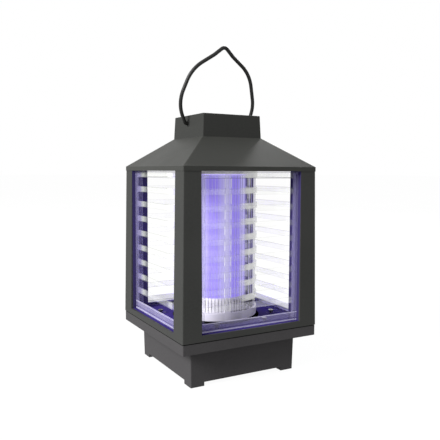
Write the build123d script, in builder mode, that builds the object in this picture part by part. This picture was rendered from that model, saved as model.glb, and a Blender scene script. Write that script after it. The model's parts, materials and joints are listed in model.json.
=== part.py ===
from build123d import *
from math import cos, pi, radians, sin
import os

# Portable lantern-shaped insect zapper. Millimetres, +Z up, origin on the ground under its axis.
# The base tray stands on the ground, the housing lifts off it, and the bail swings on the cap.

os.makedirs("parts", exist_ok=True)

# Levels, from the ground up
FOOT_LIFT = 4.2
PLINTH_TOP = 38.8
RING_TOP = 48.9
BODY_BOTTOM = 49.7
DECK_TOP = 54.0
SILL_TOP = 55.6
WINDOW_TOP = 209.0
EAVE_Z = 213.4
NECK_Z = 243.2
CAP_TOP = 266.3
PIVOT_Z = 258.0

# Half widths of the square outlines at those levels
PLINTH_BOTTOM_HALF = 59.9
PLINTH_TOP_HALF = 60.7
RING_HALF = 76.3
BODY_BOTTOM_HALF = 76.7
BODY_TOP_HALF = 74.6
EAVE_HALF = 75.0
NECK_HALF = 34.3
CAP_TOP_HALF = 33.3
WINDOW_HALF = 56.5

WALL = 2.4
CORNER = 0.9
SCREW_R = 1.25
SCREW_HOLE_R = 1.32
SCREW_HEAD_R = 2.7
SCREW_HEAD = 1.8

# Body frame
DECK_THICK = 2.2
FALL_HOLE_R = 47.0
POST_INNER = WINDOW_HALF + WALL
TOP_RING_HALF = 72.2
TOP_RING_Z = 211.2
POST_CAVITY_TOP = 206.8
SKIRT_HALF = BODY_BOTTOM_HALF - WALL
LOUVRE_GAP = 0.4

# Clear louvred inserts, one in each window
LOUVRE_FRONT = 70.8
LOUVRE_BACK = 63.0
LOUVRE_THICK = 1.6
LOUVRE_HALF = 56.2
LOUVRE_BOTTOM = DECK_TOP + 0.3
LOUVRE_TOP = WINDOW_TOP - 0.3
SLOT_COUNT = 9
SLOT_PITCH = 15.95
SLOT_HEIGHT = 9.8
SLOT_HALF = 50.9
FIRST_SLOT_TOP = 202.0
TAB_INNER = 49.5
TAB_WIDTH = 8.0
TAB_THICK = 1.8
TAB_OFFSET = 28.0
TAB_SCREW = 53.5

# Light and grid cartridge, hung from the ceiling plate
CAGE_R = 44.0
CAGE_WALL = 2.3
CAGE_BOTTOM = 55.6
CAGE_TURN = -102.6
STRUT_COUNT = 4
STRUT_WIDTH = 6.5
RING_R = CAGE_R - CAGE_WALL - 0.1
GRID_R = 39.2
GRID_STEP_R = 0.4
GRID_WIRE_R = 0.3
GRID_WIRES = 36
GRID_SEAT_IN = 37.6
LAMP_SEAT_R = 32.6
LAMP_RING_IN = 27.0
SPOKE_COUNT = 8
SPOKE_WIDTH = 3.0
RING_BOTTOM = 56.6
GRID_BOTTOM = 60.5
GRID_TOP = 206.0
BAND_HEIGHT = 1.2
BAND_THICK = 0.4
DIFFUSER_R = 31.5
DIFFUSER_WALL = 1.6
DIFFUSER_BOTTOM = 77.0
CARTRIDGE_SCREW_R = 35.0
COLUMN_HALF = 6.0
LED_ROWS = 8
LED_PITCH = 14.5

# Ceiling plate and what it carries inside the roof
CEILING_HALF = 70.0
CEILING_TOP = 213.2
CEILING_SCREW = 62.0
BOSS_R = 3.4
BOARD_LENGTH = 76.0
BOARD_WIDTH = 44.0
BOARD_Y = 27.0
BOARD_BOTTOM = 217.4
BOARD_THICK = 1.6
BOARD_SCREW_X = 33.0
BOARD_SCREW_Y = 17.0
CELL_R = 9.2
CELL_LENGTH = 65.0
CELL_GAP = 0.6
HOLDER_Y = -24.0
HOLDER_WALL = 1.6
HOLDER_LENGTH = CELL_LENGTH + 10.0
HOLDER_WIDTH = 4 * CELL_R + CELL_GAP + 4.0
HOLDER_HEIGHT = 11.0

# Cap, its bosses, button and charging socket on its back wall
CAP_WALL = 2.2
CAP_SCREW = 25.0
CAP_BOSS_BOTTOM = 245.6
ROOF_TOP_THICK = 2.4
NECK_OPENING_HALF = 29.0
LIP_HALF = 31.2
LIP_TOP = 245.4
BACK_FACE = 33.8
BUTTON_X = 14.0
BUTTON_Z = 254.0
BUTTON_R = 4.0
BUTTON_HOLE_R = 4.3
SOCKET_X = -13.0
SOCKET_WIDTH = 9.0
SOCKET_HEIGHT = 3.4
DOOR_WIDTH = 15.0
DOOR_HEIGHT = 11.0
DOOR_THICK = 1.4
DOOR_AXIS_Y = BACK_FACE + 2.3
DOOR_AXIS_Z = 260.6
DOOR_PIN_R = 0.6
KNUCKLE_R = 1.35
EAR_WIDTH = 2.0

# Bail of round wire, leaning to the front at rest. Its bow is hand-bent, a little off centre.
BAIL_R = 1.9
BAIL_LEAN = 15.3
BAIL_BUSH_R = 1.96
BAIL_BUSH_OUT = 3.2
BAIL_INNER_X = 28.0
BAIL_HEAD_R = 2.8
BAIL_ELBOW_X = 37.3
BAIL_OFF_CENTRE = 2.5
BAIL_BOW = [(45.1, 20.5), (34.2, 55.5), (11.0, 71.2)]
BAIL_PEAK = 80.6
BAIL_RADII = [4.0, 34.0, 38.0, 14.0, 5.0]

# Base tray, its feet and clips
FOOT_LENGTH = 14.6
FOOT_BOTTOM = 0.3
TRAY_FLOOR = 2.4
UPSTAND_HALF = 73.4
UPSTAND_WALL = 2.0
UPSTAND_TOP = 51.3
PAD_SIZE = 9.0
PAD_HEIGHT = 2.0
PAD_CENTRE = PLINTH_BOTTOM_HALF - FOOT_LENGTH / 2

FOUR_WAYS = {"front": (0, -1), "right": (1, 0), "back": (0, 1), "left": (-1, 0)}


def corners(offset):
    """The four points at that offset from the axis, one towards each corner."""
    return [(x * offset, y * offset) for x in (-1, 1) for y in (-1, 1)]


def save(part, name):
    part.label = name
    export_step(part, f"parts/{name}.step")


def wall_plane(way):
    """A vertical plane through the axis whose normal points out of that side."""
    out_x, out_y = FOUR_WAYS[way]
    return Plane(origin=(0, 0, 0), x_dir=(-out_y, out_x, 0), z_dir=(out_x, out_y, 0))


def on_wall(way, along, out):
    """The plan position that far along a side and that far out from the axis."""
    out_x, out_y = FOUR_WAYS[way]
    return (-out_y * along + out_x * out, out_x * along + out_y * out)


def tab_screws():
    return [on_wall(way, along, TAB_SCREW) for way in FOUR_WAYS for along in (-TAB_OFFSET, TAB_OFFSET)]


def slot_centres():
    first = FIRST_SLOT_TOP - SLOT_HEIGHT / 2
    return [(0, first - row * SLOT_PITCH) for row in range(SLOT_COUNT)]


def body_frame():
    with BuildPart() as frame:
        with BuildSketch(Plane.XY.offset(BODY_BOTTOM)):
            RectangleRounded(2 * BODY_BOTTOM_HALF, 2 * BODY_BOTTOM_HALF, CORNER)
        with BuildSketch(Plane.XY.offset(WINDOW_TOP)):
            RectangleRounded(2 * BODY_TOP_HALF, 2 * BODY_TOP_HALF, CORNER)
        loft()
        # Top ring that the ceiling plate and roof sit on
        with BuildSketch(Plane.XY.offset(WINDOW_TOP)):
            Rectangle(2 * TOP_RING_HALF, 2 * TOP_RING_HALF)
        extrude(amount=TOP_RING_Z - WINDOW_TOP)
        with BuildSketch(Plane.XY.offset(WINDOW_TOP - 1)):
            Rectangle(2 * WINDOW_HALF, 2 * WINDOW_HALF)
        extrude(amount=TOP_RING_Z - WINDOW_TOP + 2, mode=Mode.SUBTRACT)
        # Windows, cut through both ways from the sills to the eaves
        with BuildSketch(Plane.XY.offset(SILL_TOP)):
            Rectangle(4 * EAVE_HALF, 2 * WINDOW_HALF)
            Rectangle(2 * WINDOW_HALF, 4 * EAVE_HALF)
        extrude(amount=WINDOW_TOP - SILL_TOP, mode=Mode.SUBTRACT)
        # Deck sunk behind low sills that hold the louvred inserts from outside
        with BuildSketch(Plane.XY.offset(DECK_TOP)):
            Rectangle(2 * (LOUVRE_FRONT + LOUVRE_GAP), 2 * WINDOW_HALF)
            Rectangle(2 * WINDOW_HALF, 2 * (LOUVRE_FRONT + LOUVRE_GAP))
        extrude(amount=SILL_TOP - DECK_TOP, mode=Mode.SUBTRACT)
        # Hollow posts, open downwards
        cavity_low = SKIRT_HALF - POST_INNER
        cavity_high = TOP_RING_HALF - POST_INNER
        for side_x, side_y in corners(1):
            low = POST_INNER + cavity_low / 2
            high = POST_INNER + cavity_high / 2
            with BuildSketch(Plane.XY.offset(BODY_BOTTOM)):
                with Locations((side_x * low, side_y * low)):
                    Rectangle(cavity_low, cavity_low)
            with BuildSketch(Plane.XY.offset(POST_CAVITY_TOP)):
                with Locations((side_x * high, side_y * high)):
                    Rectangle(cavity_high, cavity_high)
            loft(mode=Mode.SUBTRACT)
        # Recess under the deck for the tray's upstand
        with BuildSketch(Plane.XY.offset(BODY_BOTTOM)):
            Rectangle(2 * SKIRT_HALF, 2 * SKIRT_HALF)
        extrude(amount=DECK_TOP - DECK_THICK - BODY_BOTTOM, mode=Mode.SUBTRACT)
        # Hole under the grid, where insects fall through
        with BuildSketch(Plane.XY.offset(BODY_BOTTOM)):
            Circle(FALL_HOLE_R)
        extrude(amount=DECK_TOP - BODY_BOTTOM, mode=Mode.SUBTRACT)
        with BuildSketch(Plane.XY.offset(BODY_BOTTOM)):
            with Locations(*tab_screws()):
                Circle(SCREW_HOLE_R)
        extrude(amount=DECK_TOP - BODY_BOTTOM, mode=Mode.SUBTRACT)
        with BuildSketch(Plane.XY.offset(TOP_RING_Z)):
            with Locations(*corners(CEILING_SCREW)):
                Circle(SCREW_HOLE_R)
        extrude(amount=POST_CAVITY_TOP - TOP_RING_Z, mode=Mode.SUBTRACT)
    save(frame.part, "body_frame")


def roof_shell():
    slope = (EAVE_HALF - NECK_HALF) / (NECK_Z - EAVE_Z)
    inner_eave = EAVE_HALF - WALL
    inner_top = NECK_Z - ROOF_TOP_THICK
    inner_neck = inner_eave - slope * (inner_top - EAVE_Z)
    boss_top = EAVE_Z + (EAVE_HALF - CEILING_SCREW - BOSS_R) / slope - 0.8
    with BuildPart() as roof:
        with BuildSketch(Plane.XY.offset(EAVE_Z)):
            RectangleRounded(2 * EAVE_HALF, 2 * EAVE_HALF, CORNER)
        with BuildSketch(Plane.XY.offset(NECK_Z)):
            RectangleRounded(2 * NECK_HALF, 2 * NECK_HALF, CORNER)
        loft()
        with BuildSketch(Plane.XY.offset(WINDOW_TOP)):
            RectangleRounded(2 * EAVE_HALF, 2 * EAVE_HALF, CORNER)
        extrude(amount=EAVE_Z - WINDOW_TOP)
        with BuildSketch(Plane.XY.offset(NECK_Z)):
            Rectangle(2 * LIP_HALF, 2 * LIP_HALF)
        extrude(amount=LIP_TOP - NECK_Z)
        with BuildSketch(Plane.XY.offset(EAVE_Z)):
            Rectangle(2 * inner_eave, 2 * inner_eave)
        with BuildSketch(Plane.XY.offset(inner_top)):
            Rectangle(2 * inner_neck, 2 * inner_neck)
        loft(mode=Mode.SUBTRACT)
        with BuildSketch(Plane.XY.offset(WINDOW_TOP)):
            Rectangle(2 * inner_eave, 2 * inner_eave)
        extrude(amount=EAVE_Z - WINDOW_TOP, mode=Mode.SUBTRACT)
        # Opening under the cap, with its corners kept for the cap's screws
        with BuildSketch(Plane.XY.offset(inner_top)):
            Rectangle(2 * NECK_OPENING_HALF, 2 * NECK_OPENING_HALF)
            with Locations(*corners(CAP_SCREW)):
                Rectangle(10, 10, mode=Mode.SUBTRACT)
        extrude(amount=LIP_TOP - inner_top, mode=Mode.SUBTRACT)
        with BuildSketch(Plane.XY.offset(inner_top)):
            with Locations(*corners(CAP_SCREW)):
                Circle(SCREW_HOLE_R)
        extrude(amount=LIP_TOP - inner_top, mode=Mode.SUBTRACT)
        # Bosses for the long screws that come up through the posts
        with BuildSketch(Plane.XY.offset(CEILING_TOP)):
            with Locations(*corners(CEILING_SCREW)):
                Circle(BOSS_R)
        extrude(amount=boss_top - CEILING_TOP)
        with BuildSketch(Plane.XY.offset(CEILING_TOP)):
            with Locations(*corners(CEILING_SCREW)):
                Circle(SCREW_HOLE_R)
        extrude(amount=boss_top - CEILING_TOP - 0.8, mode=Mode.SUBTRACT)
    save(roof.part, "roof_shell")


def cap_shell():
    with BuildPart() as cap:
        with BuildSketch(Plane.XY.offset(NECK_Z)):
            RectangleRounded(2 * NECK_HALF, 2 * NECK_HALF, CORNER)
        with BuildSketch(Plane.XY.offset(CAP_TOP)):
            RectangleRounded(2 * CAP_TOP_HALF, 2 * CAP_TOP_HALF, CORNER)
        loft()
        fillet(cap.edges().group_by(Axis.Z)[-1], 0.6)
        with BuildSketch(Plane.XY.offset(NECK_Z)):
            Rectangle(2 * (NECK_HALF - CAP_WALL), 2 * (NECK_HALF - CAP_WALL))
        with BuildSketch(Plane.XY.offset(CAP_TOP - CAP_WALL)):
            Rectangle(2 * (CAP_TOP_HALF - CAP_WALL), 2 * (CAP_TOP_HALF - CAP_WALL))
        loft(mode=Mode.SUBTRACT)
        with BuildSketch(Plane.XY.offset(CAP_TOP - CAP_WALL)):
            with Locations(*corners(CAP_SCREW)):
                Circle(3.4)
        extrude(amount=CAP_BOSS_BOTTOM - CAP_TOP + CAP_WALL)
        with BuildSketch(Plane.XY.offset(CAP_BOSS_BOTTOM)):
            with Locations(*corners(CAP_SCREW)):
                Circle(SCREW_HOLE_R)
        extrude(amount=8, mode=Mode.SUBTRACT)
        # Holes for the bail's bushes, through both side walls
        with BuildSketch(Plane.YZ.offset(-2 * NECK_HALF)):
            with Locations((0, PIVOT_Z)):
                Circle(BAIL_BUSH_OUT)
        extrude(amount=4 * NECK_HALF, mode=Mode.SUBTRACT)
        # Button hole and socket opening in the back wall
        with BuildSketch(Plane.XZ.offset(-BACK_FACE - 4)):
            with Locations((BUTTON_X, BUTTON_Z)):
                Circle(BUTTON_HOLE_R)
            with Locations((SOCKET_X, BUTTON_Z)):
                SlotOverall(SOCKET_WIDTH + 0.6, SOCKET_HEIGHT + 0.6)
        extrude(amount=10, mode=Mode.SUBTRACT)
        # Ears that hold the socket door's pin
        ear = (DOOR_WIDTH + EAR_WIDTH) / 2 + 0.3
        for side in (-ear, ear):
            with BuildSketch(Plane.YZ.offset(SOCKET_X + side - EAR_WIDTH / 2)):
                with Locations((DOOR_AXIS_Y, DOOR_AXIS_Z)):
                    Circle(KNUCKLE_R)
                with Locations((DOOR_AXIS_Y - 1.6, DOOR_AXIS_Z)):
                    Rectangle(3.2, 2 * KNUCKLE_R)
            extrude(amount=EAR_WIDTH)
        with BuildSketch(Plane.YZ.offset(SOCKET_X - DOOR_WIDTH)):
            with Locations((DOOR_AXIS_Y, DOOR_AXIS_Z)):
                Circle(DOOR_PIN_R + 0.02)
        extrude(amount=2 * DOOR_WIDTH, mode=Mode.SUBTRACT)
    save(cap.part, "cap_shell")


def ceiling_plate():
    with BuildPart() as ceiling:
        with BuildSketch(Plane.XY.offset(TOP_RING_Z)):
            RectangleRounded(2 * CEILING_HALF, 2 * CEILING_HALF, 2)
            Circle(8, mode=Mode.SUBTRACT)
            with Locations(*corners(CEILING_SCREW)):
                Circle(SCREW_HOLE_R + 0.3, mode=Mode.SUBTRACT)
            with PolarLocations(CARTRIDGE_SCREW_R, 4, 45):
                Circle(SCREW_HOLE_R, mode=Mode.SUBTRACT)
        extrude(amount=CEILING_TOP - TOP_RING_Z)
        # Standoffs under the control board
        with BuildSketch(Plane.XY.offset(CEILING_TOP)):
            with Locations((0, BOARD_Y)):
                with GridLocations(2 * BOARD_SCREW_X, 2 * BOARD_SCREW_Y, 2, 2):
                    Circle(3)
                    Circle(SCREW_HOLE_R, mode=Mode.SUBTRACT)
        extrude(amount=BOARD_BOTTOM - CEILING_TOP)
    save(ceiling.part, "ceiling_plate")


def louvre(way):
    wall = wall_plane(way)
    middle = (LOUVRE_BOTTOM + LOUVRE_TOP) / 2
    height = LOUVRE_TOP - LOUVRE_BOTTOM
    with BuildPart() as panel:
        # Face plate with a return flange all round
        with BuildSketch(wall.offset(LOUVRE_BACK)):
            with Locations((0, middle)):
                Rectangle(2 * LOUVRE_HALF, height)
        extrude(amount=LOUVRE_FRONT - LOUVRE_BACK)
        with BuildSketch(wall.offset(LOUVRE_BACK)):
            with Locations((0, middle)):
                Rectangle(2 * (LOUVRE_HALF - LOUVRE_THICK), height - 2 * LOUVRE_THICK)
        extrude(amount=LOUVRE_FRONT - LOUVRE_BACK - LOUVRE_THICK, mode=Mode.SUBTRACT)
        with BuildSketch(wall.offset(LOUVRE_FRONT - 2 * LOUVRE_THICK)):
            with Locations(*slot_centres()):
                Rectangle(2 * SLOT_HALF, SLOT_HEIGHT)
        extrude(amount=3 * LOUVRE_THICK, mode=Mode.SUBTRACT)
        # Two tabs screwed down on the deck
        with BuildSketch(wall.offset(TAB_INNER)):
            with Locations((-TAB_OFFSET, LOUVRE_BOTTOM + TAB_THICK / 2), (TAB_OFFSET, LOUVRE_BOTTOM + TAB_THICK / 2)):
                Rectangle(TAB_WIDTH, TAB_THICK)
        extrude(amount=LOUVRE_BACK - TAB_INNER)
        with BuildSketch(Plane.XY.offset(DECK_TOP)):
            with Locations(*tab_screws()):
                Circle(SCREW_HOLE_R)
        extrude(amount=TAB_THICK + 1, mode=Mode.SUBTRACT)
    save(panel.part, f"louvre_{way}")


def screw_group(name, places, head_z, tip_z):
    """Identical self-tapping screws. The head is at head_z, away from the tip."""
    away = 1 if head_z > tip_z else -1
    with BuildPart() as screws:
        with BuildSketch(Plane.XY.offset(tip_z)):
            with Locations(*places):
                Circle(SCREW_R)
        extrude(amount=head_z - tip_z)
        with BuildSketch(Plane.XY.offset(head_z)):
            with Locations(*places):
                Circle(SCREW_HEAD_R)
        extrude(amount=away * SCREW_HEAD)
        with BuildSketch(Plane.XY.offset(head_z + away * SCREW_HEAD)):
            with Locations(*places):
                Rectangle(3.2, 0.7)
                Rectangle(0.7, 3.2)
        extrude(amount=-away * 0.9, mode=Mode.SUBTRACT)
    save(screws.part, name)


def upper_ring():
    with BuildPart() as ring:
        with BuildSketch(Plane.XY.offset(GRID_TOP)):
            Circle(RING_R)
            Circle(10, mode=Mode.SUBTRACT)
        extrude(amount=3)
        with BuildSketch(Plane.XY.offset(GRID_TOP)):
            Circle(RING_R)
            Circle(GRID_SEAT_IN, mode=Mode.SUBTRACT)
            with PolarLocations(CARTRIDGE_SCREW_R, 4, 45):
                Circle(3.2)
        extrude(amount=TOP_RING_Z - GRID_TOP)
        with BuildSketch(Plane.XY.offset(GRID_TOP)):
            with PolarLocations(CARTRIDGE_SCREW_R, 4, 45):
                Circle(SCREW_HOLE_R)
        extrude(amount=TOP_RING_Z - GRID_TOP, mode=Mode.SUBTRACT)
    save(ring.part, "upper_ring")


def lower_ring():
    with BuildPart() as ring:
        with BuildSketch(Plane.XY.offset(RING_BOTTOM)):
            Circle(RING_R)
            Circle(GRID_SEAT_IN, mode=Mode.SUBTRACT)
            Circle(LAMP_SEAT_R)
            with PolarLocations((GRID_SEAT_IN + LAMP_SEAT_R) / 2, SPOKE_COUNT, CAGE_TURN):
                Rectangle(GRID_SEAT_IN - LAMP_SEAT_R + 2, SPOKE_WIDTH)
            Circle(LAMP_RING_IN, mode=Mode.SUBTRACT)
        extrude(amount=GRID_BOTTOM - RING_BOTTOM)
    save(ring.part, "lower_ring")


def guard_cage():
    """A clear cylinder with four uprights and the same rows of slots as the window inserts."""
    slot_floors = [z - SLOT_HEIGHT / 2 for across, z in slot_centres()]
    with BuildPart() as cage:
        with BuildSketch(Plane.XY.offset(CAGE_BOTTOM)):
            Circle(CAGE_R)
            Circle(CAGE_R - CAGE_WALL, mode=Mode.SUBTRACT)
        extrude(amount=TOP_RING_Z - CAGE_BOTTOM)
        rim = cage.faces().sort_by(Axis.Z)[0].edges().sort_by(SortBy.RADIUS)[-1]
        fillet(rim, 1.0)
        with BuildSketch(*[Plane.XY.offset(z) for z in slot_floors]):
            Circle(CAGE_R + 1)
            Circle(CAGE_R - CAGE_WALL - 1, mode=Mode.SUBTRACT)
            with PolarLocations(CAGE_R, STRUT_COUNT, CAGE_TURN):
                Rectangle(4 * CAGE_WALL, STRUT_WIDTH, mode=Mode.SUBTRACT)
        extrude(amount=SLOT_HEIGHT, mode=Mode.SUBTRACT)
    save(cage.part, "guard_cage")


def grid_wires(name, radius, start):
    """Every other wire of the high-voltage grid."""
    with BuildPart() as wires:
        with BuildSketch(Plane.XY.offset(GRID_BOTTOM)):
            with PolarLocations(radius, GRID_WIRES, start):
                Circle(GRID_WIRE_R)
        extrude(amount=GRID_TOP - GRID_BOTTOM)
    save(wires.part, name)


def bus_band(name, inner, bottom):
    """A thin steel band that joins the wires of one side of the grid."""
    with BuildPart() as band:
        with BuildSketch(Plane.XY.offset(bottom)):
            Circle(inner + BAND_THICK)
            Circle(inner, mode=Mode.SUBTRACT)
        extrude(amount=BAND_HEIGHT)
    save(band.part, name)


def lamp_base():
    with BuildPart() as base:
        with BuildSketch(Plane.XY.offset(RING_BOTTOM)):
            Circle(LAMP_RING_IN - 0.1)
        extrude(amount=GRID_BOTTOM - RING_BOTTOM)
        with BuildSketch(Plane.XY.offset(GRID_BOTTOM)):
            Circle(DIFFUSER_R)
        extrude(amount=DIFFUSER_BOTTOM - GRID_BOTTOM)
        with BuildSketch(Plane.XY.offset(DIFFUSER_BOTTOM)):
            Circle(DIFFUSER_R - DIFFUSER_WALL - 0.1)
        extrude(amount=3)
        with BuildSketch(Plane.XY.offset(RING_BOTTOM)):
            Circle(LAMP_RING_IN - 2.5)
        extrude(amount=DIFFUSER_BOTTOM - RING_BOTTOM, mode=Mode.SUBTRACT)
    save(base.part, "lamp_base")


def uv_diffuser():
    with BuildPart() as tube:
        with BuildSketch(Plane.XY.offset(DIFFUSER_BOTTOM)):
            Circle(DIFFUSER_R)
            Circle(DIFFUSER_R - DIFFUSER_WALL, mode=Mode.SUBTRACT)
        extrude(amount=GRID_TOP - DIFFUSER_BOTTOM)
    save(tube.part, "uv_diffuser")


def led_column():
    with BuildPart() as column:
        with BuildSketch(Plane.XY.offset(DIFFUSER_BOTTOM + 3)):
            Rectangle(2 * COLUMN_HALF, 2 * COLUMN_HALF)
            Rectangle(2 * COLUMN_HALF - 3, 2 * COLUMN_HALF - 3, mode=Mode.SUBTRACT)
        extrude(amount=GRID_TOP - DIFFUSER_BOTTOM - 3)
    save(column.part, "led_column")


def led_strips():
    strip_length = LED_ROWS * LED_PITCH
    with BuildPart() as strips:
        for way in FOUR_WAYS:
            with BuildSketch(wall_plane(way).offset(COLUMN_HALF)):
                with Locations((0, DIFFUSER_BOTTOM + 7 + strip_length / 2)):
                    Rectangle(2 * COLUMN_HALF - 2, strip_length)
            extrude(amount=1.0)
    save(strips.part, "led_strips")


def uv_leds():
    with BuildPart() as leds:
        for way in FOUR_WAYS:
            with BuildSketch(wall_plane(way).offset(COLUMN_HALF + 1.0)):
                with Locations(*[(0, DIFFUSER_BOTTOM + 7 + (row + 0.5) * LED_PITCH) for row in range(LED_ROWS)]):
                    Rectangle(3.5, 3.5)
            extrude(amount=1.2)
    save(leds.part, "uv_leds")


def control_board():
    with BuildPart() as board:
        with BuildSketch(Plane.XY.offset(BOARD_BOTTOM)):
            with Locations((0, BOARD_Y)):
                RectangleRounded(BOARD_LENGTH, BOARD_WIDTH, 2)
                with GridLocations(2 * BOARD_SCREW_X, 2 * BOARD_SCREW_Y, 2, 2):
                    Circle(SCREW_HOLE_R, mode=Mode.SUBTRACT)
        extrude(amount=BOARD_THICK)
    save(board.part, "control_board")


def hv_transformer():
    top = BOARD_BOTTOM + BOARD_THICK
    with BuildPart() as transformer:
        with BuildSketch(Plane.XY.offset(top)):
            with Locations((-12, BOARD_Y - 6)):
                Rectangle(20, 18)
        extrude(amount=4)
        with BuildSketch(Plane.XY.offset(top + 4)):
            with Locations((-12, BOARD_Y - 6)):
                Rectangle(12, 14)
        extrude(amount=7)
        with BuildSketch(Plane.XY.offset(top + 11)):
            with Locations((-12, BOARD_Y - 6)):
                Rectangle(20, 18)
        extrude(amount=3)
    save(transformer.part, "hv_transformer")


def hv_capacitors():
    with BuildPart() as capacitors:
        with BuildSketch(Plane.XY.offset(BOARD_BOTTOM + BOARD_THICK)):
            with Locations((12, BOARD_Y - 8), (12, BOARD_Y + 2)):
                RectangleRounded(14, 6, 1.5)
        extrude(amount=9)
    save(capacitors.part, "hv_capacitors")


def cell_rows():
    return [HOLDER_Y - CELL_R - CELL_GAP / 2, HOLDER_Y + CELL_R + CELL_GAP / 2]


def battery_holder():
    with BuildPart() as holder:
        with BuildSketch(Plane.XY.offset(CEILING_TOP)):
            with Locations((0, HOLDER_Y)):
                Rectangle(HOLDER_LENGTH, HOLDER_WIDTH)
        extrude(amount=HOLDER_HEIGHT)
        with BuildSketch(Plane.XY.offset(CEILING_TOP + HOLDER_WALL)):
            with Locations((0, HOLDER_Y)):
                Rectangle(HOLDER_LENGTH - 2 * HOLDER_WALL, HOLDER_WIDTH - 2 * HOLDER_WALL)
        extrude(amount=HOLDER_HEIGHT, mode=Mode.SUBTRACT)
    save(holder.part, "battery_holder")


def battery_cells():
    cell_z = CEILING_TOP + HOLDER_WALL + CELL_R
    with BuildPart() as cells:
        with BuildSketch(Plane.YZ.offset(-CELL_LENGTH / 2)):
            with Locations(*[(row, cell_z) for row in cell_rows()]):
                Circle(CELL_R)
        extrude(amount=CELL_LENGTH)
        with BuildSketch(Plane.YZ.offset(CELL_LENGTH / 2)):
            with Locations(*[(row, cell_z) for row in cell_rows()]):
                Circle(3)
        extrude(amount=1.0)
    save(cells.part, "battery_cells")


def battery_contacts():
    cell_z = CEILING_TOP + HOLDER_WALL + CELL_R
    end = HOLDER_LENGTH / 2 - HOLDER_WALL
    with BuildPart() as contacts:
        for start in (-end, CELL_LENGTH / 2 + 1.0):
            with BuildSketch(Plane.YZ.offset(start)):
                with Locations(*[(row, cell_z - 2) for row in cell_rows()]):
                    Rectangle(9, 13)
            extrude(amount=0.5)
    save(contacts.part, "battery_contacts")


def power_switch():
    with BuildPart() as switch:
        with BuildSketch(Plane.XZ.offset(-BACK_FACE + 12)):
            with Locations((BUTTON_X, BUTTON_Z)):
                Rectangle(12, 12)
        extrude(amount=5)
        with BuildSketch(Plane.XZ.offset(-BACK_FACE + 12)):
            with Locations((BUTTON_X, BUTTON_Z)):
                Circle(2)
        extrude(amount=-5.4)
    save(switch.part, "power_switch")


def power_button():
    with BuildPart() as button:
        with BuildSketch(Plane.XZ.offset(-BACK_FACE - 1.3)):
            with Locations((BUTTON_X, BUTTON_Z)):
                Circle(BUTTON_R)
        extrude(amount=6)
        fillet(button.edges().group_by(Axis.Y)[-1], 0.6)
        with BuildSketch(Plane.XZ.offset(-BACK_FACE + 3)):
            with Locations((BUTTON_X, BUTTON_Z)):
                Circle(BUTTON_R + 1.4)
        extrude(amount=1.6)
    save(button.part, "power_button")


def charge_socket():
    with BuildPart() as socket:
        with BuildSketch(Plane.XZ.offset(-BACK_FACE + 0.6)):
            with Locations((SOCKET_X, BUTTON_Z)):
                SlotOverall(SOCKET_WIDTH, SOCKET_HEIGHT)
        extrude(amount=8)
        with BuildSketch(Plane.XZ.offset(-BACK_FACE + 0.6)):
            with Locations((SOCKET_X, BUTTON_Z)):
                SlotOverall(SOCKET_WIDTH - 1, SOCKET_HEIGHT - 1)
        extrude(amount=6.5, mode=Mode.SUBTRACT)
        with BuildSketch(Plane.XZ.offset(-BACK_FACE + 0.6)):
            with Locations((SOCKET_X, BUTTON_Z)):
                Rectangle(6.2, 0.7)
        extrude(amount=6.5)
    save(socket.part, "charge_socket")


def socket_door():
    with BuildPart() as door:
        with BuildSketch(Plane.YZ.offset(SOCKET_X - DOOR_WIDTH / 2)):
            with Locations((DOOR_AXIS_Y, DOOR_AXIS_Z)):
                Circle(KNUCKLE_R)
            with Locations((DOOR_AXIS_Y - DOOR_THICK / 2, DOOR_AXIS_Z - DOOR_HEIGHT / 2)):
                Rectangle(DOOR_THICK, DOOR_HEIGHT)
            with Locations((DOOR_AXIS_Y, DOOR_AXIS_Z)):
                Circle(DOOR_PIN_R + 0.05, mode=Mode.SUBTRACT)
        extrude(amount=DOOR_WIDTH)
    save(door.part, "socket_door")


def door_pin():
    reach = DOOR_WIDTH / 2 + EAR_WIDTH + 0.3
    with BuildPart() as pin:
        with BuildSketch(Plane.YZ.offset(SOCKET_X - reach)):
            with Locations((DOOR_AXIS_Y, DOOR_AXIS_Z)):
                Circle(DOOR_PIN_R)
        extrude(amount=2 * reach)
    save(pin.part, "door_pin")


def bail_handle():
    lean = radians(BAIL_LEAN)
    leaning = Plane(origin=(0, 0, PIVOT_Z), x_dir=(1, 0, 0), z_dir=(0, -cos(lean), -sin(lean)))
    right = [(BAIL_INNER_X, 0), (BAIL_ELBOW_X, 0)] + [(x - BAIL_OFF_CENTRE, y) for x, y in BAIL_BOW]
    left = [(-x - BAIL_OFF_CENTRE, y) for x, y in reversed(BAIL_BOW)] + [(-BAIL_ELBOW_X, 0), (-BAIL_INNER_X, 0)]
    with BuildPart() as bail:
        with BuildLine(leaning) as route:
            FilletPolyline(*right, (-BAIL_OFF_CENTRE, BAIL_PEAK), *left, radius=BAIL_RADII + BAIL_RADII[-2::-1])
        with BuildSketch(Plane.YZ.offset(BAIL_INNER_X)):
            with Locations((0, PIVOT_Z)):
                Circle(BAIL_R)
        sweep(path=route.line)
        # Upset ends that keep the wire in its bushes
        for side in (-BAIL_INNER_X - 0.5, BAIL_INNER_X - 0.5):
            with BuildSketch(Plane.YZ.offset(side)):
                with Locations((0, PIVOT_Z)):
                    Circle(BAIL_HEAD_R)
            extrude(amount=1.0)
    save(bail.part, "bail_handle")


def bail_bushes():
    with BuildPart() as bushes:
        for side in (-34.0, 31.0):
            with BuildSketch(Plane.YZ.offset(side)):
                with Locations((0, PIVOT_Z)):
                    Circle(BAIL_BUSH_OUT)
                    Circle(BAIL_BUSH_R, mode=Mode.SUBTRACT)
            extrude(amount=3.0)
    save(bushes.part, "bail_bushes")


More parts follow.
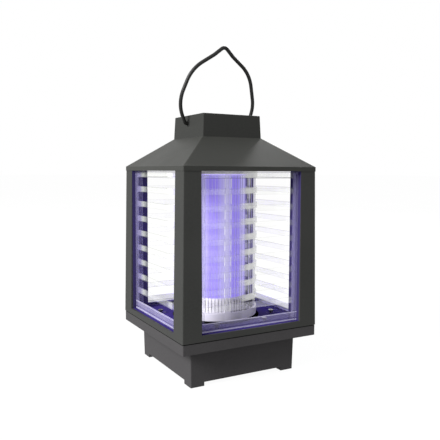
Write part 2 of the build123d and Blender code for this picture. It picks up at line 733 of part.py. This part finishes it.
def base_tray():
    foot_span = 2 * (PLINTH_BOTTOM_HALF - FOOT_LENGTH)
    with BuildPart() as tray:
        with BuildSketch(Plane.XY.offset(FOOT_BOTTOM)):
            RectangleRounded(2 * PLINTH_BOTTOM_HALF, 2 * PLINTH_BOTTOM_HALF, CORNER)
        with BuildSketch(Plane.XY.offset(PLINTH_TOP)):
            RectangleRounded(2 * PLINTH_TOP_HALF, 2 * PLINTH_TOP_HALF, CORNER)
        loft()
        with BuildSketch(Plane.XY.offset(PLINTH_TOP)):
            RectangleRounded(2 * RING_HALF, 2 * RING_HALF, CORNER)
        extrude(amount=RING_TOP - PLINTH_TOP)
        # Upstand that keeps the housing in place
        with BuildSketch(Plane.XY.offset(RING_TOP)):
            Rectangle(2 * UPSTAND_HALF, 2 * UPSTAND_HALF)
        extrude(amount=UPSTAND_TOP - RING_TOP)
        with BuildSketch(Plane.XY.offset(PLINTH_TOP + WALL)):
            Rectangle(2 * (UPSTAND_HALF - UPSTAND_WALL), 2 * (UPSTAND_HALF - UPSTAND_WALL))
        extrude(amount=UPSTAND_TOP - PLINTH_TOP, mode=Mode.SUBTRACT)
        # Bin inside the plinth
        with BuildSketch(Plane.XY.offset(FOOT_LIFT + TRAY_FLOOR)):
            RectangleRounded(2 * (PLINTH_BOTTOM_HALF - WALL), 2 * (PLINTH_BOTTOM_HALF - WALL), 2)
        extrude(amount=PLINTH_TOP, mode=Mode.SUBTRACT)
        # Underside raised between the four corner feet
        with BuildSketch(Plane.XY):
            Rectangle(foot_span, 3 * PLINTH_TOP_HALF)
            Rectangle(3 * PLINTH_TOP_HALF, foot_span)
        extrude(amount=FOOT_LIFT, mode=Mode.SUBTRACT)
        with BuildSketch(Plane.XY):
            with Locations(*corners(PAD_CENTRE)):
                Rectangle(PAD_SIZE, PAD_SIZE)
        extrude(amount=PAD_HEIGHT, mode=Mode.SUBTRACT)
    save(tray.part, "base_tray")


def foot_pads():
    with BuildPart() as pads:
        with BuildSketch(Plane.XY):
            with Locations(*corners(PAD_CENTRE)):
                Rectangle(PAD_SIZE, PAD_SIZE)
        extrude(amount=PAD_HEIGHT)
    save(pads.part, "foot_pads")


def spring_clips():
    """Leaf clips in the tray's upstand that grip the housing's skirt lightly."""
    with BuildPart() as clips:
        for way in ("left", "right"):
            with BuildSketch(wall_plane(way).offset(UPSTAND_HALF - UPSTAND_WALL - 0.5)):
                with Locations((0, RING_TOP - 3)):
                    Rectangle(14, 9)
            extrude(amount=0.5)
    save(clips.part, "spring_clips")


def lead(name, route, radius):
    """A short insulated lead held between two points inside the housing."""
    with BuildPart() as wire:
        with BuildLine() as path:
            FilletPolyline(*route, radius=3)
        with BuildSketch(Plane(origin=route[0], z_dir=Vector(*route[1]) - Vector(*route[0]))):
            Circle(radius)
        sweep(path=path.line)
    save(wire.part, name)


body_frame()
roof_shell()
cap_shell()
ceiling_plate()
for side_name in FOUR_WAYS:
    louvre(side_name)
screw_group("louvre_screws", tab_screws(), LOUVRE_BOTTOM + TAB_THICK, DECK_TOP - DECK_THICK + 0.2)
screw_group("roof_screws", corners(CEILING_SCREW), POST_CAVITY_TOP, CEILING_TOP + 4.6)
screw_group("cap_screws", corners(CAP_SCREW), NECK_Z - ROOF_TOP_THICK, CAP_BOSS_BOTTOM + 6)
screw_group("cartridge_screws", corners(CARTRIDGE_SCREW_R * sin(pi / 4)), GRID_TOP, CEILING_TOP - 0.2)
board_screws = [(x, BOARD_Y + y) for x in (-BOARD_SCREW_X, BOARD_SCREW_X) for y in (-BOARD_SCREW_Y, BOARD_SCREW_Y)]
screw_group("board_screws", board_screws, BOARD_BOTTOM + BOARD_THICK, CEILING_TOP + 0.4)
upper_ring()
lower_ring()
guard_cage()
grid_wires("grid_wires_live", GRID_R + GRID_STEP_R, 0)
grid_wires("grid_wires_return", GRID_R - GRID_STEP_R, 180 / GRID_WIRES)
bus_band("bus_band_live", GRID_R + GRID_STEP_R + GRID_WIRE_R, GRID_TOP - BAND_HEIGHT)
bus_band("bus_band_return", GRID_R - GRID_STEP_R - GRID_WIRE_R - BAND_THICK, GRID_BOTTOM)
lamp_base()
uv_diffuser()
led_column()
led_strips()
uv_leds()
control_board()
hv_transformer()
hv_capacitors()
battery_holder()
battery_cells()
battery_contacts()
power_switch()
power_button()
charge_socket()
socket_door()
door_pin()
bail_handle()
bail_bushes()
base_tray()
foot_pads()
spring_clips()
board_top = BOARD_BOTTOM + BOARD_THICK
lead("lead_lamp", [(6, BOARD_Y - 16, board_top), (6, BOARD_Y - 16, 228), (2, 4, 228), (2, 4, GRID_TOP + 1)], 0.9)
lead("lead_switch", [(28, BOARD_Y, board_top), (28, BOARD_Y, 232), (BUTTON_X, 18, 238), (BUTTON_X, 18, BUTTON_Z - 6.2)], 0.9)
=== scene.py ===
import json
import math

import bpy
from mathutils import Matrix, Vector

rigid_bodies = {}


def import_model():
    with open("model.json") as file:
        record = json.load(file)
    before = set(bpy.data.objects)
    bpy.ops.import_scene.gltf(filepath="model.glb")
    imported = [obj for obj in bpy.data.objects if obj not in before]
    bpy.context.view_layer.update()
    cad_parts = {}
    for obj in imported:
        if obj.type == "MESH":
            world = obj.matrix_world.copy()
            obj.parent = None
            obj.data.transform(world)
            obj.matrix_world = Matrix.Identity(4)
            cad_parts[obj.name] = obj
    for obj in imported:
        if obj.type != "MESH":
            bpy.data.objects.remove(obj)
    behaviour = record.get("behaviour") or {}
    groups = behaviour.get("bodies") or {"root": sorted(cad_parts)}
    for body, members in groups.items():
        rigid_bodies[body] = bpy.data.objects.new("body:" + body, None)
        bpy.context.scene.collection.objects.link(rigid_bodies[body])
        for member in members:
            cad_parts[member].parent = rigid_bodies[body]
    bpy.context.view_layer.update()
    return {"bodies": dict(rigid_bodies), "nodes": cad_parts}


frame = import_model()
nodes = frame["nodes"]


# Places, lengths and counts that the materials need. Places are in metres from the axis or above the floor.
# The rows of slots that the louvred windows and the guard cage share
FIRST_SLOT_TOP = 0.202
SLOT_PITCH = 0.01595
SLOT_HEIGHT = 0.0098
SLOT_HALF = 0.0509
LAST_SLOT_FLOOR = FIRST_SLOT_TOP - 8 * SLOT_PITCH - SLOT_HEIGHT
RIM_WIDTH = 0.0009

# The windows: just behind their plates, so that the screw tabs don't count, then heights on the plates and
# distances along their bars
PLATE_BACK = 0.069
BRIGHT_LINE = 0.0563
DARK_VIOLET_LINE_HEIGHT = 0.0583
LOW_HAZE_TOP = 0.094
BAR_INSET = 0.0105
BAR_MIDDLE_HALF = 0.03
BAR_FADE_START = 0.038

# The lit chamber behind the windows, with its deck
SILL_TOP = 0.0556
CHAMBER_HALF = 0.0743
CHAMBER_FLOOR = 0.0535

# The guard cage, the wire grid and the tube inside it
CAGE_TURN = math.radians(-102.6)
CAGE_R = 0.044
CAGE_UPRIGHTS = 4
UPRIGHT_HALF = 0.0038
COLLAR_TOP = 0.0662
GRID_R = 0.0392
TUBE_FLOOR = 0.077
TUBE_TOP = 0.206
TUBE_BANDS = 8
WIRE_GLOW_LIT_FADE = (0.12, 0.185)
WIRE_DARK_FADE = (0.15, 0.19)

# Just under the top of the base's ring. Above it the base is painted near black, as painted shade for the gap
# under the housing
SEAM = 0.0488

# The small violet lights round the grid
GLOW_LIGHT_R = 0.0465
GLOW_LIGHT_HEIGHTS = (0.1, 0.165)

NO_LIGHT = (0.0, 0.0, 0.0)


# ---------------------------------------------------------------- material helpers

class Look:
    """A node material under construction, with its Principled shader and short ways to add nodes."""

    def __init__(self, name, **settings):
        self.material = bpy.data.materials.new(name)
        self.material.use_nodes = True
        self.tree = self.material.node_tree
        self.shader = next(n for n in self.tree.nodes if n.type == "BSDF_PRINCIPLED")
        for socket, value in settings.items():
            self.shader.inputs[socket.replace("_", " ")].default_value = value

    def node(self, kind, **inputs):
        made = self.tree.nodes.new(kind)
        for socket, value in inputs.items():
            self.put(made.inputs[socket.replace("_", " ")], value)
        return made

    def put(self, socket, value):
        if isinstance(value, bpy.types.NodeSocket):
            self.tree.links.new(value, socket)
        else:
            socket.default_value = value

    def position(self):
        """The X, Y and Z of the shaded point in the object's own frame."""
        coordinates = self.node("ShaderNodeTexCoord").outputs
        return self.node("ShaderNodeSeparateXYZ", Vector=coordinates["Object"]).outputs

    def upright(self):
        """1 on vertical faces, 0 on level ones."""
        normal = self.node("ShaderNodeSeparateXYZ", Vector=self.node("ShaderNodeTexCoord").outputs["Normal"])
        return self.math("SUBTRACT", 1.0, self.math("ABSOLUTE", normal.outputs["Z"]))

    def place(self, scale=(1, 1, 1)):
        coordinates = self.node("ShaderNodeTexCoord")
        mapping = self.node("ShaderNodeMapping", Vector=coordinates.outputs["Object"], Scale=scale)
        return mapping.outputs["Vector"]

    def noise(self, scale, detail=3.0, rough=0.5, stretch=(1, 1, 1)):
        where = self.place(stretch)
        made = self.node("ShaderNodeTexNoise", Vector=where, Scale=scale, Detail=detail, Roughness=rough)
        return made.outputs["Fac"]

    def math(self, operation, first, second=0.0, third=0.0):
        made = self.tree.nodes.new("ShaderNodeMath")
        made.operation = operation
        for socket, value in zip(made.inputs, (first, second, third)):
            self.put(socket, value)
        return made.outputs["Value"]

    def times(self, first, second):
        return self.math("MULTIPLY", first, second)

    def plus(self, first, second):
        return self.math("ADD", first, second)

    def between(self, value, low, high):
        """1 where the value lies between the two limits, else 0."""
        return self.times(self.math("GREATER_THAN", value, low), self.math("LESS_THAN", value, high))

    def facing(self):
        """0 on faces seen square on, growing to 1 on faces seen edge on."""
        return self.node("ShaderNodeLayerWeight", Blend=0.5).outputs["Facing"]

    def streaks(self, most):
        """Faint upright streaks of a moulded clear part, from 0.85 up to the most given."""
        return self.span(self.noise(45.0, 3.0, 0.6, (1, 1, 0.2)), 0.35, 0.7, 0.85, most)

    def span(self, value, low, high, to_low, to_high):
        made = self.node("ShaderNodeMapRange", Value=value)
        made.inputs["From Min"].default_value = low
        made.inputs["From Max"].default_value = high
        made.inputs["To Min"].default_value = to_low
        made.inputs["To Max"].default_value = to_high
        return made.outputs["Result"]

    def ramp(self, factor, *stops):
        made = self.node("ShaderNodeValToRGB", Fac=factor)
        ramp = made.color_ramp
        while len(ramp.elements) < len(stops):
            ramp.elements.new(0.5)
        for element, (place, colour) in zip(ramp.elements, stops):
            element.position = place
            element.color = (*colour, 1.0)
        return made.outputs["Color"]

    def blend(self, factor, first, second):
        made = self.tree.nodes.new("ShaderNodeMix")
        made.data_type = "RGBA"
        self.put(made.inputs["Factor"], factor)
        self.put(made.inputs["A"], (*first, 1.0) if isinstance(first, tuple) else first)
        self.put(made.inputs["B"], (*second, 1.0) if isinstance(second, tuple) else second)
        return made.outputs["Result"]

    def bump(self, height, strength, distance):
        made = self.node("ShaderNodeBump", Height=height, Strength=strength, Distance=distance)
        self.tree.links.new(made.outputs["Normal"], self.shader.inputs["Normal"])

    def link(self, value, socket):
        self.put(self.shader.inputs[socket], value)

    def chamber(self):
        """1 on the walls of the lit chamber behind the windows and on its deck, 0 on the outside."""
        position = self.position()
        across = [self.math("ABSOLUTE", position[axis]) for axis in "XY"]
        behind = self.math("LESS_THAN", self.math("MAXIMUM", *across), CHAMBER_HALF)
        above = self.math("GREATER_THAN", position["Z"], CHAMBER_FLOOR)
        return self.times(behind, above)


def moulded(
    name, dark, light, grain=900.0, bump=0.25, rough=(0.45, 0.62), specular=0.03, inside=None, seam_shade=None
):
    """Moulded plastic with a fine spark-eroded grain and faint flow marks.

    inside holds painted violet light for the deck and the walls in the lit chamber, standing for the lamp's
    glow there. The colour for the joint is painted shade, near black, laid above SEAM where the housing shades
    the base.
    """
    look = Look(name, Specular_IOR_Level=specular)
    grains = look.noise(grain, 2.0, 0.6)
    clouds = look.noise(14.0, 4.0, 0.55)
    mixed = look.plus(look.times(grains, 0.55), look.times(clouds, 0.45))
    colour = look.ramp(mixed, (0.32, dark), (0.68, light))
    height = look.position()["Z"]
    dull = look.span(clouds, 0.3, 0.7, *rough)
    # Painted light: in the chamber the deck and the walls take painted violet colours for the lamp's glow on
    # them.
    if inside:
        deck, wall = inside
        lit = look.blend(look.math("GREATER_THAN", height, SILL_TOP + 0.0002), deck, wall)
        chamber = look.chamber()
        colour = look.blend(chamber, colour, lit)
        dull = look.math("MAXIMUM", dull, chamber)
    # Painted shade: above SEAM the base is near black, for the shade in the gap under the housing.
    if seam_shade:
        colour = look.blend(look.math("GREATER_THAN", height, SEAM), colour, seam_shade)
    look.link(colour, "Base Color")
    look.link(dull, "Roughness")
    look.bump(grains, bump, 0.00025)
    return look.material


def slot_rims(look, height):
    """Two fades, from 1 at the upper and at the lower edge of every slot to 0 a little away from it."""
    turns = look.math("DIVIDE", look.math("SUBTRACT", FIRST_SLOT_TOP, height), SLOT_PITCH)
    part = look.math("FRACT", turns)
    upper = look.math("ABSOLUTE", look.math("WRAP", part, 0.5, -0.5))
    lower = look.math("ABSOLUTE", look.math("SUBTRACT", part, SLOT_HEIGHT / SLOT_PITCH))
    return [look.span(edge, 0.0, RIM_WIDTH / SLOT_PITCH, 1.0, 0.0) for edge in (upper, lower)]


def window_acrylic(name):
    """Clear louvred insert: faintly milky bars that give off a little painted light, a duller flange round
    them, fine painted highlight lines low on the plate and painted dark shade lines at its slot rims.

    Its haze grows as a plate turns away, as on any clear plate. The ends of the bars, the strength of the fine
    lines and the violet haze low on the bars change with that angle too. Those were tuned from the photo's own
    camera, so they shift in other views and are lost in an exported model.
    """
    look = Look(name, Roughness=0.2, IOR=1.3, Specular_IOR_Level=0.1, Emission_Strength=1.0)
    position = look.position()
    sides = [look.math("ABSOLUTE", position[axis]) for axis in "XY"]
    height = position["Z"]
    across = look.math("MINIMUM", *sides)
    plate = look.math("GREATER_THAN", look.math("MAXIMUM", *sides), PLATE_BACK)
    facing = look.facing()

    def turned(square_on, at_angle):
        """From one value on a plate seen square on to the other on a plate seen at an angle."""
        return look.span(facing, 0.15, 0.5, square_on, at_angle)

    end = look.span(facing, 0.2, 0.5, SLOT_HALF, SLOT_HALF - BAR_INSET)

    # Masks, each 1 where its feature lies
    above = look.math("GREATER_THAN", height, LAST_SLOT_FLOOR)
    bars = look.times(look.times(look.math("LESS_THAN", across, end), above), plate)
    # Painted highlights: floor_line and sill_line mark thin light lilac lines, just under the lowest slot and
    # at BRIGHT_LINE, that stand for the plate catching the light there.
    floor_line = look.between(height, LAST_SLOT_FLOOR - 0.0005, LAST_SLOT_FLOOR)
    sill_line = look.between(height, BRIGHT_LINE, BRIGHT_LINE + 0.0008)
    edges = look.times(look.plus(floor_line, sill_line), plate)
    dark_violet_line = look.times(look.between(height, DARK_VIOLET_LINE_HEIGHT, DARK_VIOLET_LINE_HEIGHT + 0.0006), plate)
    lintel = look.times(look.between(height, FIRST_SLOT_TOP - 0.0003, FIRST_SLOT_TOP + 0.0005), bars)
    upper, lower = [look.times(rim, bars) for rim in slot_rims(look, height)]
    rims = look.math("MAXIMUM", upper, lower)
    bottom = look.times(look.math("LESS_THAN", height, LAST_SLOT_FLOOR), plate)
    bar_ends = look.span(across, BAR_MIDDLE_HALF - 0.001, BAR_MIDDLE_HALF + 0.001, 0.0, 1.0)

    # Violet light that the deck throws on the lowest bars, strongest towards the two corners where X times Y,
    # in square metres, is high
    low = look.times(look.span(height, LAST_SLOT_FLOOR, LOW_HAZE_TOP, 1.0, 0.0), bars)
    corner = look.span(look.times(position["X"], position["Y"]), 0.0012, 0.0034, 0.0, 1.0)
    low = look.times(low, look.math("MAXIMUM", corner, turned(0.9, 0.3)))
    shine = look.times(rims, low)

    fade = look.span(across, BAR_FADE_START, SLOT_HALF, 1.0, 0.5)
    milk = look.times(look.span(facing, 0.1, 0.5, 0.045, 0.095), fade)
    flange = look.plus(look.span(facing, 0.1, 0.9, 0.13, 0.25), look.times(bottom, 0.08))
    alpha = look.plus(flange, look.times(bars, look.math("SUBTRACT", milk, flange)))
    alpha = look.times(alpha, look.streaks(1.2))
    hazes = (
        (edges, turned(0.25, 0.13)),
        (lintel, 0.35),
        (upper, 0.02),
        (lower, turned(0.04, 0.22)),
        (low, turned(0.14, 0.12)),
        (dark_violet_line, 0.3),
        (shine, 0.35),
    )
    for mask, haze in hazes:
        alpha = look.plus(alpha, look.times(mask, haze))
    alpha = look.times(alpha, look.span(look.upright(), 0.0, 1.0, 0.1, 1.0))
    look.link(look.math("MINIMUM", alpha, 0.95), "Alpha")

    pale = look.blend(bar_ends, (0.3, 0.31, 0.28), (0.78, 0.81, 0.72))
    colour = look.blend(bars, (0.22, 0.205, 0.33), pale)
    colour = look.blend(look.times(low, 0.8), colour, (0.55, 0.48, 0.86))
    # Painted shade: the slot rims and the lintel get thin dark lines that stand for the cut edges of the clear
    # bars turning the light aside; shine is a painted highlight on the rims low down.
    colour = look.blend(rims, colour, (0.06, 0.062, 0.055))
    colour = look.blend(shine, colour, (0.8, 0.77, 0.93))
    colour = look.blend(lintel, colour, (0.1, 0.1, 0.11))
    # A thin dark violet line along the bottom bar.
    colour = look.blend(dark_violet_line, colour, (0.03, 0.02, 0.11))
    look.link(look.blend(edges, colour, (0.55, 0.53, 0.68)), "Base Color")
    # Painted light: the bars, but for the lintel and the slot rims, give off a faint greenish white light that
    # stands for the lamp's light caught in the clear plastic.
    bright = look.math("SUBTRACT", bars, look.math("MAXIMUM", lintel, rims))
    look.link(look.blend(bright, NO_LIGHT, (0.2, 0.215, 0.165)), "Emission Color")
    return look.material


def cage_acrylic(name):
    """Clear slotted cylinder: almost clear seen square on, milky where it turns away and at its uprights, with
    painted dark shade lines at its slot rims and a faint painted light given off above its collar.
    """
    look = Look(name, Roughness=0.2, IOR=1.3, Specular_IOR_Level=0.1, Emission_Strength=1.0)
    position = look.position()
    height = position["Z"]
    alpha = look.times(look.span(look.facing(), 0.2, 0.44, 0.02, 0.7), look.streaks(1.15))
    alpha = look.times(alpha, look.span(look.upright(), 0.0, 1.0, 0.1, 1.0))
    angle = look.math("ARCTAN2", position["Y"], position["X"])
    step = 2 * math.pi / CAGE_UPRIGHTS
    turn = look.math("SUBTRACT", angle, CAGE_TURN)
    aside = look.math("ABSOLUTE", look.math("WRAP", turn, step / 2, -step / 2))
    half_width = UPRIGHT_HALF / CAGE_R
    alpha = look.plus(alpha, look.span(aside, half_width * 0.8, half_width, 0.09, 0.0))
    collar = look.span(height, COLLAR_TOP - 0.0004, COLLAR_TOP, 1.0, 0.0)
    alpha = look.plus(alpha, look.times(collar, 0.7))
    look.link(look.math("MINIMUM", alpha, 0.96), "Alpha")
    # Painted shade: the clear cage is darker along its slot rims, standing for the cut edges turning the light
    # aside.
    rims = look.times(look.math("MAXIMUM", *slot_rims(look, height)), 0.45)
    tint = look.blend(rims, (0.42, 0.42, 0.42), (0.26, 0.26, 0.28))
    look.link(look.blend(collar, tint, (0.52, 0.5, 0.58)), "Base Color")
    # Painted light: above the collar the clear cage gives off a faint whitish light that stands for the lamp's
    # light caught in it.
    look.link(look.blend(collar, (0.31, 0.315, 0.29), NO_LIGHT), "Emission Color")
    return look.material


def metal(name, colour, rough, grain=(1, 1, 1)):
    """Plain metal with fine marks, drawn out along one axis where the grain says so."""
    look = Look(name, Metallic=1.0)
    marks = look.noise(400.0, 3.0, 0.6, grain)
    darker = tuple(c * 0.78 for c in colour)
    look.link(look.ramp(marks, (0.3, darker), (0.7, colour)), "Base Color")
    look.link(look.span(marks, 0.3, 0.7, rough * 0.8, rough * 1.25), "Roughness")
    look.bump(marks, 0.08, 0.0001)
    return look.material


def grid_steel(name):
    """Drawn steel wire, plain grey. Beside the tube its outer side gives off light, so that it hardly shows."""
    look = Look(name, Metallic=1.0, Emission_Strength=1.0)
    marks = look.noise(400.0, 3.0, 0.6, (1, 1, 0.2))
    coordinates = look.node("ShaderNodeTexCoord").outputs
    outward = look.node("ShaderNodeVectorMath")
    outward.operation = "DOT_PRODUCT"
    look.put(outward.inputs[0], coordinates["Normal"])
    look.put(outward.inputs[1], coordinates["Object"])
    outer = look.math("POWER", look.span(outward.outputs["Value"], 0.0, GRID_R, 0.0, 1.0), 3.0)
    height = look.position()["Z"]
    beside = look.span(height, TUBE_FLOOR - 0.001, TUBE_FLOOR + 0.001, 0.0, 1.0)
    look.link(look.blend(look.times(outer, beside), NO_LIGHT, (0.5, 0.43, 1.0)), "Emission Color")
    # Painted light: low down beside the tube the wire is paler and lilac, standing for the tube's glow falling
    # on it. Higher up it turns darker.
    pale = look.times(beside, look.span(height, *WIRE_GLOW_LIT_FADE, 1.0, 0.0))
    plain = look.ramp(marks, (0.3, (0.075, 0.072, 0.09)), (0.7, (0.12, 0.115, 0.14)))
    colour = look.blend(look.span(height, *WIRE_DARK_FADE, 0.0, 1.0), plain, (0.03, 0.03, 0.035))
    look.link(look.blend(pale, colour, (0.15, 0.145, 0.19)), "Base Color")
    look.link(look.span(marks, 0.3, 0.7, 0.4, 0.55), "Roughness")
    return look.material


def glow(name):
    """Frosted tube lit from within: violet, paler in upright bands, and a little dimmer towards its top."""
    look = Look(name, Roughness=0.35, Emission_Strength=1.0)
    position = look.position()
    angle = look.math("SUBTRACT", look.math("ARCTAN2", position["Y"], position["X"]), CAGE_TURN)
    half_step = math.pi / TUBE_BANDS
    aside = look.math("ABSOLUTE", look.math("WRAP", angle, half_step, -half_step))
    patches = look.span(look.noise(30.0, 2.0, 0.45, (1, 1, 0.5)), 0.3, 0.7, -0.25, 0.3)
    pale = look.plus(look.span(aside, math.radians(5), math.radians(16), 1.0, 0.0), patches)
    violet, middle, palest = (0.21, 0.155, 0.66), (0.26, 0.215, 0.65), (0.33, 0.3, 0.62)
    colour = look.ramp(pale, (0.0, violet), (0.5, middle), (1.0, palest))
    look.link(look.blend(0.2, (0.09, 0.08, 0.13), colour), "Base Color")
    dimmer = look.span(position["Z"], TUBE_FLOOR, TUBE_TOP, 0.0, 0.14)
    look.link(look.blend(dimmer, colour, NO_LIGHT), "Emission Color")
    return look.material


def enamel(name):
    """Black coated wire with a soft gloss."""
    look = Look(name, Specular_IOR_Level=0.12)
    spots = look.noise(700.0, 2.0, 0.6)
    look.link(look.ramp(spots, (0.3, (0.009, 0.009, 0.0085)), (0.7, (0.012, 0.012, 0.0115))), "Base Color")
    look.link(look.span(spots, 0.3, 0.7, 0.34, 0.46), "Roughness")
    look.bump(spots, 0.04, 0.0001)
    return look.material


# ---------------------------------------------------------------- materials of the CAD nodes

# Painted light: violet colours for the deck and the walls of the chamber, standing for the lamp's glow falling
# on them.
DECK_PAINTED_VIOLET_LIGHT = (0.018, 0.011, 0.08)
WALL_PAINTED_VIOLET_LIGHT = (0.024, 0.019, 0.062)
housing = moulded(
    "housing_plastic", (0.021, 0.0215, 0.0205), (0.028, 0.0285, 0.027), inside=(DECK_PAINTED_VIOLET_LIGHT, WALL_PAINTED_VIOLET_LIGHT)
)
roof = moulded(
    "roof_plastic", (0.0165, 0.017, 0.0155), (0.022, 0.0225, 0.0205), rough=(0.4, 0.5), specular=0.1
)
# Painted shade: the cap is the housing's plastic made darker, standing for the less light that reaches it up
# high.
cap = moulded("cap_plastic", (0.0165, 0.017, 0.016), (0.022, 0.0225, 0.021))
base_black = moulded(
    "base_plastic", (0.028, 0.0268, 0.0278), (0.036, 0.0348, 0.0358), seam_shade=(0.002, 0.002, 0.002)
)
black = moulded("black_plastic", (0.012, 0.012, 0.012), (0.02, 0.02, 0.02), rough=(0.35, 0.5))
rubber = moulded(
    "rubber", (0.015, 0.015, 0.015), (0.025, 0.025, 0.025), grain=500.0, rough=(0.75, 0.9), specular=0.2
)
white = moulded(
    "white_plastic", (0.56, 0.54, 0.62), (0.64, 0.62, 0.69), bump=0.08, rough=(0.3, 0.42), specular=0.4
)
acrylic = window_acrylic("clear_plastic")
cage_clear = cage_acrylic("cage_clear_plastic")
tube = glow("frosted_tube")
steel = grid_steel("steel_wire")
zinc = metal("steel_zinc", (0.62, 0.63, 0.64), 0.35)
dark_screw = metal("steel_dark", (0.06, 0.06, 0.065), 0.4)
bright = metal("contact_steel", (0.6, 0.6, 0.58), 0.25, (0.3, 1, 1))
profile = metal("aluminium_profile", (0.75, 0.75, 0.76), 0.35, (1, 1, 0.1))
board = moulded(
    "circuit_board", (0.02, 0.12, 0.05), (0.03, 0.17, 0.07), bump=0.1, rough=(0.2, 0.3), specular=0.5
)
component = moulded("component", (0.04, 0.03, 0.02), (0.07, 0.05, 0.035), rough=(0.4, 0.5))
wrap = moulded(
    "cell_wrap", (0.03, 0.14, 0.36), (0.04, 0.18, 0.42), bump=0.1, rough=(0.25, 0.32), specular=0.5
)
lens = moulded("led_lens", (0.6, 0.5, 0.9), (0.7, 0.6, 0.95), bump=0.05, rough=(0.1, 0.2), specular=0.5)
sleeve = moulded("lead_sleeve", (0.35, 0.02, 0.015), (0.45, 0.03, 0.02), bump=0.1, rough=(0.35, 0.45))
bail_paint = enamel("bail_wire")

looks = {
    "body_frame": housing, "roof_shell": roof, "cap_shell": cap, "base_tray": base_black,
    "ceiling_plate": black, "battery_holder": black, "power_switch": black, "socket_door": black,
    "bail_bushes": black, "foot_pads": rubber, "power_button": rubber,
    "louvre_front": acrylic, "louvre_back": acrylic, "louvre_left": acrylic, "louvre_right": acrylic,
    "guard_cage": cage_clear, "upper_ring": white, "lower_ring": white, "lamp_base": white,
    "uv_diffuser": tube, "grid_wires_live": steel, "grid_wires_return": steel,
    "bus_band_live": steel, "bus_band_return": steel,
    "louvre_screws": dark_screw, "roof_screws": zinc, "cap_screws": zinc, "cartridge_screws": zinc,
    "board_screws": zinc, "door_pin": zinc, "battery_contacts": bright, "charge_socket": bright,
    "spring_clips": bright, "led_column": profile, "led_strips": board, "control_board": board,
    "hv_transformer": component, "hv_capacitors": component, "battery_cells": wrap, "uv_leds": lens,
    "lead_lamp": sleeve, "lead_switch": sleeve, "bail_handle": bail_paint,
}
for name, material in looks.items():
    mesh = nodes[name].data
    mesh.materials.clear()
    mesh.materials.append(material)


# ---------------------------------------------------------------- floor, light and camera

def floor():
    """A plain pale level floor, lit in its material so that it stays near white."""
    look = Look("pale_floor", Roughness=0.9, Specular_IOR_Level=0.0, Emission_Strength=0.96)
    look.shader.inputs["Emission Color"].default_value = (1, 1, 1, 1)
    shades = look.ramp(look.noise(3.0, 3.0), (0.3, (0.028, 0.028, 0.028)), (0.7, (0.032, 0.032, 0.032)))
    look.link(shades, "Base Color")
    mesh = bpy.data.meshes.new("floor")
    half = 30.0
    corners = [(-half, -half, 0), (half, -half, 0), (half, half, 0), (-half, half, 0)]
    mesh.from_pydata(corners, [], [(0, 1, 2, 3)])
    mesh.materials.append(look.material)
    made = bpy.data.objects.new("floor", mesh)
    bpy.context.scene.collection.objects.link(made)


def area(name, place, target, size, power, colour=(1, 1, 1)):
    """An area light of that size, in metres, and power, in watts, aimed from its place at the target."""
    lamp = bpy.data.lights.new(name, "AREA")
    lamp.shape = "DISK"
    lamp.size = size
    lamp.energy = power
    lamp.color = colour
    made = bpy.data.objects.new(name, lamp)
    made.location = place
    made.rotation_euler = (Vector(target) - Vector(place)).to_track_quat("-Z", "Y").to_euler()
    bpy.context.scene.collection.objects.link(made)
    return made


def world(strength):
    made = bpy.data.worlds.new("studio")
    made.use_nodes = True
    background = next(n for n in made.node_tree.nodes if n.type == "BACKGROUND")
    background.inputs["Color"].default_value = (1, 1, 1, 1)
    background.inputs["Strength"].default_value = strength
    bpy.context.scene.world = made


def inner_glow():
    """Soft violet light round the grid, standing for what the tube gives through its frosted wall."""
    for turn in range(4):
        angle = math.radians(turn * 90)
        way = Vector((math.cos(angle), math.sin(angle), 0))
        for height in GLOW_LIGHT_HEIGHTS:
            spot = way * GLOW_LIGHT_R + Vector((0, 0, height))
            lamp = area(f"glow_{turn}_{int(height * 1000)}", spot, spot + way, 0.05, 0.03, (0.28, 0.18, 1.0))
            lamp.data.shape = "RECTANGLE"
            lamp.data.size_y = 0.06
            lamp.visible_camera = False
            lamp.parent = frame["bodies"]["housing"]


floor()
world(1.0)
area("key", (-2.3, -0.5, 1.5), (0, 0, 0.15), 1.2, 220)
area("top", (1.2, 1.3, 1.3), (0, 0, 0.2), 0.9, 30)
inner_glow()

# The camera that a perspective fit to the photo's edges gives
camera_data = bpy.data.cameras.new("camera")
camera_data.sensor_width = 36.0
camera_data.lens = 46.76
camera = bpy.data.objects.new("camera", camera_data)
yaw = Matrix.Rotation(math.radians(-29.18), 4, "Z")
pitch = Matrix.Rotation(math.radians(90 - 4.86), 4, "X")
roll = Matrix.Rotation(math.radians(0.29), 4, "Z")
camera.matrix_world = Matrix.Translation((-0.2966, -0.5396, 0.2086)) @ yaw @ pitch @ roll
bpy.context.scene.collection.objects.link(camera)
bpy.context.scene.camera = camera
bpy.context.scene.view_settings.view_transform = "Standard"
